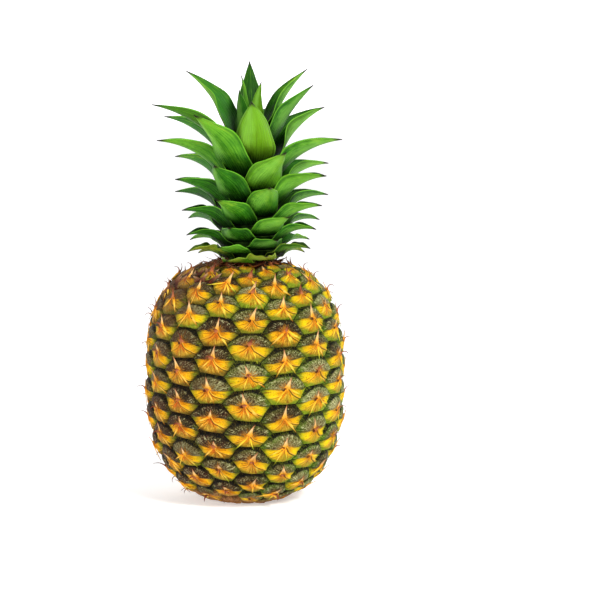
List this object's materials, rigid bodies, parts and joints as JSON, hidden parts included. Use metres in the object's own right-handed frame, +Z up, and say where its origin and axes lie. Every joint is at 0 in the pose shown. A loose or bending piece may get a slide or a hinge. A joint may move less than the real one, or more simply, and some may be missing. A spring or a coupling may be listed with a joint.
{
  "type": "pineapple",
  "caption": "Whole ripe pineapple with spiralled eyes and a leafy crown, standing upright on its small flat cut base.",
  "frame": {"origin": "middle of the flat cut at the base, on the surface the fruit stands on", "axes": "+Z up along the fruit towards its crown, -Y towards the front, +X to the right"},
  "size_m": [0.1236, 0.1234, 0.2761],
  "materials": {
    "rind": "waxy, rough fruit rind in yellow, orange, green and grey-brown",
    "stem": "pale fibrous plant stem",
    "leaf": "firm waxy green leaf",
    "low_leaf": "olive leaf with a dry edge"
  },
  "bodies": {
    "root": {"fruit_body": "rind", "crown_stem": "stem", "crown_leaf_01": "low_leaf", "crown_leaf_02": "low_leaf", "crown_leaf_03": "low_leaf", "crown_leaf_04": "low_leaf", "crown_leaf_05": "low_leaf", "crown_leaf_06": "low_leaf", "crown_leaf_07": "low_leaf", "crown_leaf_08": "low_leaf", "crown_leaf_09": "leaf", "crown_leaf_10": "leaf", "crown_leaf_11": "leaf", "crown_leaf_12": "leaf", "crown_leaf_13": "leaf", "crown_leaf_14": "leaf", "crown_leaf_15": "leaf", "crown_leaf_16": "leaf", "crown_leaf_17": "leaf", "crown_leaf_18": "leaf", "crown_leaf_19": "leaf", "crown_leaf_20": "leaf", "crown_leaf_21": "leaf", "crown_leaf_22": "leaf", "crown_leaf_23": "leaf", "crown_leaf_24": "leaf", "crown_leaf_25": "leaf", "crown_leaf_26": "leaf", "crown_leaf_27": "leaf", "crown_leaf_28": "leaf", "crown_leaf_29": "leaf", "crown_leaf_30": "leaf", "crown_leaf_31": "leaf", "crown_leaf_32": "leaf", "crown_leaf_33": "leaf", "crown_leaf_34": "leaf", "crown_leaf_35": "leaf", "crown_leaf_36": "leaf", "crown_leaf_37": "leaf", "crown_leaf_38": "leaf", "crown_leaf_39": "leaf", "crown_leaf_40": "leaf", "crown_leaf_41": "leaf", "crown_leaf_42": "leaf", "crown_leaf_43": "leaf", "crown_leaf_44": "leaf", "crown_leaf_45": "leaf", "crown_leaf_46": "leaf", "crown_leaf_47": "leaf", "crown_leaf_48": "leaf", "crown_leaf_49": "leaf", "crown_leaf_50": "leaf", "crown_leaf_51": "leaf", "crown_leaf_52": "leaf", "crown_leaf_53": "leaf"}
  },
  "joints": []
}
